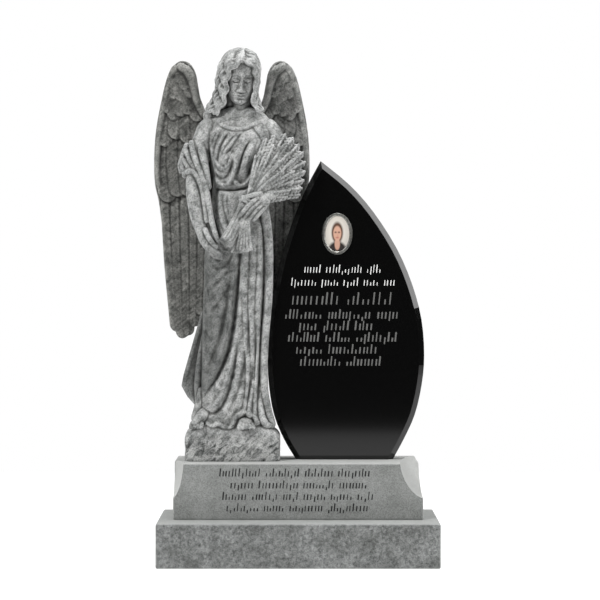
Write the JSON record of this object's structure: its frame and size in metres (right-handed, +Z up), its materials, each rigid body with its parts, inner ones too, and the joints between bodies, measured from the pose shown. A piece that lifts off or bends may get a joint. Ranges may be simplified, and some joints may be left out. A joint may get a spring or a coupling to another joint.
{
  "type": "angel headstone",
  "caption": "Granite cemetery headstone: a carved angel with a wheat sheaf beside a polished leaf-shaped stone, on a stepped base.",
  "frame": {"origin": "middle of the base slab's underside", "axes": "+Z up, -Y towards the person who reads the stone, +X towards the memorial stone"},
  "size_m": [0.9284, 0.3528, 1.6697],
  "materials": {
    "base_slab": "sawn grey granite, matt",
    "inscription_block": "honed grey granite",
    "angel_statue": "carved veined grey granite, matt",
    "memorial_stone": "polished black granite",
    "portrait_frame": "satin silver metal",
    "portrait_plaque": "glazed porcelain"
  },
  "bodies": {
    "root": {"base_slab": "base_slab", "inscription_block": "inscription_block", "angel_statue": "angel_statue", "memorial_stone": "memorial_stone", "portrait_frame": "portrait_frame", "portrait_plaque": "portrait_plaque"}
  },
  "joints": []
}
